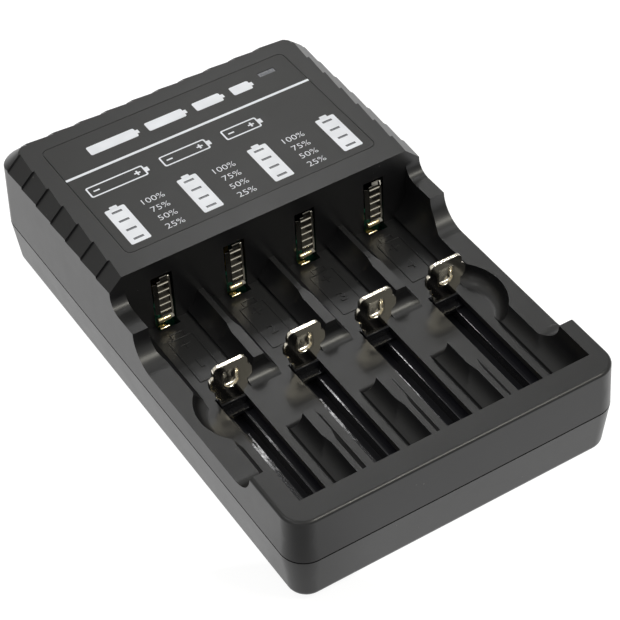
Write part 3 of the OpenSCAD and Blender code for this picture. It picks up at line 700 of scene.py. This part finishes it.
class CHARGER_OT_label(bpy.types.Operator):
    """Finish the label and print its rule, level symbols, numbers and cell pictograms"""

    bl_idname = "charger.label"
    bl_label = "Label"

    ink_depth = 0.03 * MM
    # a tool that cuts through the ink: how far below the label it starts, and its height
    cut_below, cut_depth = 0.1 * MM, 0.3 * MM

    # the windows in a level symbol, and its foot below the middle of the first one
    window_size = (2.95 * MM, 0.8 * MM)
    symbol_foot = 1.7 * MM
    # the level numbers: their middle from the bay's and below the windows, and their width
    number_shift, number_drop = 10.35 * MM, 0.6 * MM
    number_widths = {"25%": 5.3 * MM, "50%": 5.3 * MM, "75%": 5.3 * MM, "100%": 6.4 * MM}

    # the upper row of pictograms, plain cells from long to short: where it starts, its
    # place along Y, the cells' width, the room between them and their lengths
    plain_start, plain_y, plain_width = -27 * MM, 59.3 * MM, 3.7 * MM
    plain_room = 3.3 * MM
    plain_lengths = (14.5 * MM, 11.5 * MM, 8.5 * MM, 6 * MM)
    # the lower row, cells in outline with their poles marked
    poled_start, poled_y, poled_width = -35 * MM, 44.3 * MM, 4.4 * MM
    poled_room, poled_outline = 5 * MM, 0.45 * MM
    poled_lengths = (17 * MM, 14 * MM, 11 * MM)
    # a pole mark's middle from its cell's end, its arm and its line
    pole_inward, pole_arm, pole_line = 2.4 * MM, 0.9 * MM, 0.5 * MM

    def symbol(self, bay, label, ink):
        """A cell symbol with openings over the light guide's windows."""
        x = BAY_X[bay - 1]
        y0 = WINDOW_FIRST - self.symbol_foot
        length, width = label.symbol_length, label.symbol_width
        body = pad(x, y0 + length / 2, LABEL_TOP, width, length, self.ink_depth, 0.45 * MM)
        nub = pad(x, y0 + length + 0.4 * MM, LABEL_TOP, width * 0.38, 1.0 * MM,
                  self.ink_depth, 0.25 * MM)
        windows = [pad(x, WINDOW_FIRST + row * WINDOW_PITCH, LABEL_TOP - self.cut_below,
                       *self.window_size, self.cut_depth) for row in range(WINDOW_COUNT)]
        cut(body, windows)
        dress(joined(f"level_symbol_{bay}", [body, nub]), ink, CASE)

    def numbers(self, bay, label, ink):
        """The level numbers to the right of a bay's symbol."""
        x = BAY_X[bay - 1] + self.number_shift
        y = WINDOW_FIRST - self.number_drop
        made = [lettered(text, x, y + row * WINDOW_PITCH, LABEL_TOP, width,
                         label.digit_height, self.ink_depth, -0.01)
                for row, (text, width) in enumerate(self.number_widths.items())]
        dress(joined(f"level_numbers_{bay}", made), ink, CASE)

    def cell(self, x0, y, length, width, outline=0.0):
        """A lying cell from x0 to the right, solid or as an outline."""
        body = pad(x0 + length / 2, y, LABEL_TOP, length, width, self.ink_depth,
                   width * 0.14)
        if outline:
            inside = pad(x0 + length / 2, y, LABEL_TOP - self.cut_below,
                         length - 2 * outline, width - 2 * outline, self.cut_depth,
                         width * 0.08)
            cut(body, [inside])
        nub = pad(x0 + length + width * 0.11, y, LABEL_TOP, width * 0.22, width * 0.4,
                  self.ink_depth)
        return [body, nub]

    def pictograms(self):
        """A row of cells on each side of the rule."""
        parts = []
        x0 = self.plain_start
        for length in self.plain_lengths:
            parts += self.cell(x0, self.plain_y, length, self.plain_width)
            x0 += length + self.plain_room
        x0 = self.poled_start
        for length in self.poled_lengths:
            parts += self.cell(x0, self.poled_y, length, self.poled_width,
                               self.poled_outline)
            parts.append(plus_sign(x0 + length - self.pole_inward, self.poled_y, LABEL_TOP,
                                   self.pole_arm, self.pole_line, self.ink_depth))
            parts.append(pad(x0 + self.pole_inward, self.poled_y, LABEL_TOP,
                             2 * self.pole_arm, self.pole_line, self.ink_depth))
            x0 += length + self.poled_room
        return parts

    def execute(self, context):
        label = context.scene.charger_label
        ink = gloss_plastic("label_ink", label.ink, roughness=0.4)
        film = moulded_plastic("label_film", (0.0085, 0.0085, 0.0088), roughness=0.37,
                               grain=0.3 * MM)
        paint(["label_plate"], film)
        soften(["label_plate"], 0.06 * MM)
        rule = pad(0, label.rule_y, LABEL_TOP, LABEL_HIGH.x - LABEL_LOW.x, label.rule_width,
                   self.ink_depth, 0.1 * MM)
        dress(joined("label_rule", [rule]), ink, CASE)
        for bay in BAYS:
            self.symbol(bay, label, ink)
        for bay in BAYS[:-1]:
            self.numbers(bay, label, ink)
        dress(joined("label_pictograms", self.pictograms()), ink, CASE)
        return {"FINISHED"}


class CHARGER_OT_marks(bpy.types.Operator):
    """Raise the cell outline, the plus sign and the number on each bay's floor"""

    bl_idname = "charger.marks"
    bl_label = "Floor marks"

    line = 0.42 * MM
    height, sunk = 0.2 * MM, 0.02 * MM

    # the cell's outline: its width, its two ends along Y, and its nub's width and length
    cell_width, cell_ends = 7.4 * MM, (-12.5 * MM, 4.6 * MM)
    nub_width, nub_length = 4.1 * MM, 1.9 * MM
    # the plus sign: its place along Y and its arm
    plus_y, plus_arm = 1.63 * MM, 1.45 * MM
    # the number: its place beside the bay's middle and along Y, its height and its width,
    # with another width for a figure 1
    number_shift, number_y = -0.1 * MM, -6.2 * MM
    number_height, number_width, one_width = 3.4 * MM, 2.1 * MM, 1.1 * MM

    def outline(self, x, y, z, width, length, corner, inner_corner=0.0):
        """A raised line round a rectangle; the corners are its outer and inner radii."""
        body = pad(x, y, z, width, length, self.height, corner)
        inside = pad(x, y, z - self.height, width - 2 * self.line, length - 2 * self.line,
                     3 * self.height, inner_corner)
        return cut(body, [inside])

    def execute(self, context):
        plastic = bpy.data.materials.get("shell_plastic")
        if plastic is None:
            raise RuntimeError("finish the case before its floor marks")
        z = BAY_FLOOR - self.sunk
        y0, y1 = self.cell_ends
        for bay, x in zip(BAYS, BAY_X):
            body = self.outline(x, (y0 + y1) / 2, z, self.cell_width, y1 - y0,
                                0.5 * MM, 0.3 * MM)
            nub = self.outline(x, y1 + self.nub_length / 2, z, self.nub_width,
                               self.nub_length + self.line, 0.3 * MM)
            plus = plus_sign(x, self.plus_y, z, self.plus_arm, self.line, self.height)
            number = lettered(str(bay), x + self.number_shift, self.number_y, z,
                              self.one_width if bay == 1 else self.number_width,
                              self.number_height, self.height, 0.02)
            parts = [body, nub, plus, number]
            mark = dress(joined(f"bay_mark_{bay}", parts), plastic, CASE)
            round_edges(mark, 0.15 * MM, 3)
        return {"FINISHED"}


class CHARGER_OT_studio(bpy.types.Operator):
    """Build the floor, the light and the camera"""

    bl_idname = "charger.studio"
    bl_label = "Studio"

    # a shade painted on the floor before the near left corner, which shows mostly in
    # reflections of the
    # floor, where they are duller: its middle beyond the corner along X and Y, its radius, and
    # how bright the floor is there
    patch_beyond, patch_radius, patch_glow = (28 * MM, 30 * MM), 60 * MM, 0.25

    def floor(self, studio):
        """A pale floor that the camera and reflections see nearly white, with a painted shade
        before the near left corner.
        """
        settle()
        bpy.ops.mesh.primitive_plane_add(size=6)
        floor = bpy.context.object
        floor.name = "studio_floor"
        floor.location.z = CAD_BOX[0].z
        finish = Finish("studio_floor")
        finish.set(Base_Color=studio.floor, Roughness=0.9)
        glow = finish.node("ShaderNodeEmission")
        both = finish.node("ShaderNodeAddShader")
        rays = finish.node("ShaderNodeLightPath")
        corner, beyond = CAD_BOX[0], self.patch_beyond
        patch = finish.node("ShaderNodeMapping", vector_type="TEXTURE")
        patch.inputs["Location"].default_value = (corner.x - beyond[0],
                                                  corner.y - beyond[1], 0)
        patch.inputs["Scale"].default_value = (self.patch_radius,) * 3
        finish.link(finish.place, patch.inputs["Vector"])
        round_patch = finish.node("ShaderNodeTexGradient", gradient_type="SPHERICAL")
        finish.link(patch.outputs["Vector"], round_patch.inputs["Vector"])
        # the painted shade: the floor glows less in a round patch
        dull = finish.ranged(round_patch.outputs["Fac"], 0, 0.6, 1.0, self.patch_glow)
        # the camera sees this glow and the faint shade below, which add up to white
        straight = finish.ranged(rays.outputs["Is Camera Ray"], 0, 1, 0, 0.9)
        strength = finish.node("ShaderNodeMath", operation="MAXIMUM")
        finish.link(dull, strength.inputs[0])
        finish.link(straight, strength.inputs[1])
        finish.link(strength.outputs[0], glow.inputs["Strength"])
        seen = finish.node("ShaderNodeMath", operation="MAXIMUM")
        finish.link(rays.outputs["Is Camera Ray"], seen.inputs[0])
        finish.link(rays.outputs["Is Glossy Ray"], seen.inputs[1])
        faint = finish.node("ShaderNodeBsdfDiffuse")
        faint.inputs["Color"].default_value = (0.16, 0.16, 0.16, 1)
        finish.link(glow.outputs[0], both.inputs[0])
        finish.link(faint.outputs[0], both.inputs[1])
        switch = finish.node("ShaderNodeMixShader")
        finish.link(seen.outputs[0], switch.inputs[0])
        finish.link(finish.shader.outputs[0], switch.inputs[1])
        finish.link(both.outputs[0], switch.inputs[2])
        surface = finish.tree.nodes["Material Output"].inputs["Surface"]
        finish.link(switch.outputs[0], surface)
        floor.data.materials.append(finish.material)

    def lamp(self, name, toward, distance, size, glow, along_x=False, colour=(1, 1, 1)):
        """A soft box in a direction from the charger.

        glow is its brightness beside white, and along_x keeps its long side along X.
        """
        settle()
        place = Vector(toward).normalized() * distance
        bpy.ops.object.light_add(type="AREA", location=place)
        lamp = bpy.context.object
        lamp.name = name
        lamp.data.shape = "RECTANGLE"
        lamp.data.size, lamp.data.size_y = size
        lamp.data.energy = glow * math.pi * size[0] * size[1]
        lamp.data.color = colour
        lamp.rotation_mode = "QUATERNION"
        if along_x:
            place.x = 0
        lamp.rotation_quaternion = (-place).to_track_quat("-Z", "Y")

    def sky(self, scene, studio):
        """A surround that is white from above and darker toward the horizon."""
        world = scene.world or bpy.data.worlds.new("studio")
        scene.world = world
        world.use_nodes = True
        tree = world.node_tree

        def node(kind, **settings):
            made = tree.nodes.new(kind)
            for key, value in settings.items():
                setattr(made, key, value)
            return made

        direction = node("ShaderNodeTexCoord")
        parts = node("ShaderNodeSeparateXYZ")
        rise = node("ShaderNodeMapRange", interpolation_type="SMOOTHSTEP")
        for key, number in (("From Min", studio.sky_low), ("From Max", studio.sky_high),
                            ("To Min", studio.sky_dark), ("To Max", studio.sky_white)):
            rise.inputs[key].default_value = number
        rays = node("ShaderNodeLightPath")
        white = node("ShaderNodeMath", operation="MAXIMUM")
        tree.links.new(direction.outputs["Generated"], parts.inputs["Vector"])
        tree.links.new(parts.outputs["Z"], rise.inputs["Value"])
        tree.links.new(rise.outputs["Result"], white.inputs[0])
        tree.links.new(rays.outputs["Is Camera Ray"], white.inputs[1])
        background = tree.nodes["Background"]
        # its light is faintly warm, and the camera sees it plain white
        tint = node("ShaderNodeMix", data_type="RGBA")
        tint.inputs[6].default_value = (1, 0.995, 0.955, 1)
        tint.inputs[7].default_value = (1, 1, 1, 1)
        tree.links.new(rays.outputs["Is Camera Ray"], tint.inputs["Factor"])
        tree.links.new(tint.outputs[2], background.inputs["Color"])
        tree.links.new(white.outputs["Value"], background.inputs["Strength"])

    def camera(self, scene, studio):
        """The photograph's camera, turned by the angles of its line of sight."""
        settle()
        bpy.ops.object.camera_add(location=studio.eye)
        camera = bpy.context.object
        camera.name = "photo_camera"
        camera.data.lens = studio.lens
        camera.data.sensor_width = 36
        back = Vector((math.sin(studio.azimuth) * math.cos(studio.elevation),
                       -math.cos(studio.azimuth) * math.cos(studio.elevation),
                       math.sin(studio.elevation)))
        level = (-back).to_track_quat("-Z", "Y")
        camera.rotation_mode = "QUATERNION"
        camera.rotation_quaternion = level @ Quaternion((0, 0, 1), studio.roll)
        camera.data.clip_start, camera.data.clip_end = 0.01, 20
        scene.camera = camera

    def execute(self, context):
        scene = context.scene
        studio = scene.charger_studio
        self.floor(studio)
        self.lamp("back_tube", toward=(0.56, 0.842, 1.105), distance=1.5, size=(0.3, 0.01),
                  glow=40, along_x=True)
        self.lamp("glare_box", toward=(0.327, 0.641, 0.695), distance=1.5,
                  size=(0.12, 0.12), glow=12)
        self.lamp("front_box", toward=(0.335, -0.475, 0.81), distance=1.2, size=(0.2, 0.2),
                  glow=29, colour=(1, 0.975, 0.87))
        self.lamp("over_box", toward=(0.41, 0.07, 0.91), distance=1.2, size=(0.16, 0.16),
                  glow=5)
        self.lamp("left_box", toward=(-0.4, 0.2, 0.89), distance=1.2, size=(0.25, 0.25),
                  glow=4)
        self.lamp("camera_box", toward=(-0.62, -0.36, 0.67), distance=0.9,
                  size=(0.14, 0.1), glow=6)
        self.sky(scene, studio)
        self.camera(scene, studio)
        scene.view_settings.view_transform = "Standard"
        return {"FINISHED"}


class CHARGER_PT_panel(bpy.types.Panel):
    """Charger finishes in the sidebar"""

    bl_label = "Cell Charger"
    bl_idname = "CHARGER_PT_panel"
    bl_space_type = "VIEW_3D"
    bl_region_type = "UI"
    bl_category = "Charger"

    def draw(self, context):
        layout = self.layout
        for settings in SETTINGS:
            group = getattr(context.scene, settings)
            for key in group.bl_rna.properties.keys():
                if key not in ("rna_type", "name"):
                    layout.prop(group, key)
        for operator in OPERATORS:
            layout.operator(operator.bl_idname)


SETTINGS = {
    "charger_case": CaseSettings,
    "charger_metal": MetalSettings,
    "charger_label": LabelSettings,
    "charger_studio": StudioSettings,
}
OPERATORS = (CHARGER_OT_case, CHARGER_OT_contacts, CHARGER_OT_boards, CHARGER_OT_label,
             CHARGER_OT_marks, CHARGER_OT_studio)


def register():
    for settings in SETTINGS.values():
        bpy.utils.register_class(settings)
    for operator in OPERATORS:
        bpy.utils.register_class(operator)
    bpy.utils.register_class(CHARGER_PT_panel)
    for name, settings in SETTINGS.items():
        setattr(bpy.types.Scene, name, bpy.props.PointerProperty(type=settings))


def unregister():
    for name in SETTINGS:
        delattr(bpy.types.Scene, name)
    bpy.utils.unregister_class(CHARGER_PT_panel)
    for operator in reversed(OPERATORS):
        bpy.utils.unregister_class(operator)
    for settings in reversed(list(SETTINGS.values())):
        bpy.utils.unregister_class(settings)


def main():
    """Makes the whole scene."""
    register()
    for operator in OPERATORS:
        group, action = operator.bl_idname.split(".")
        getattr(getattr(bpy.ops, group), action)()


if __name__ == "__main__":
    main()
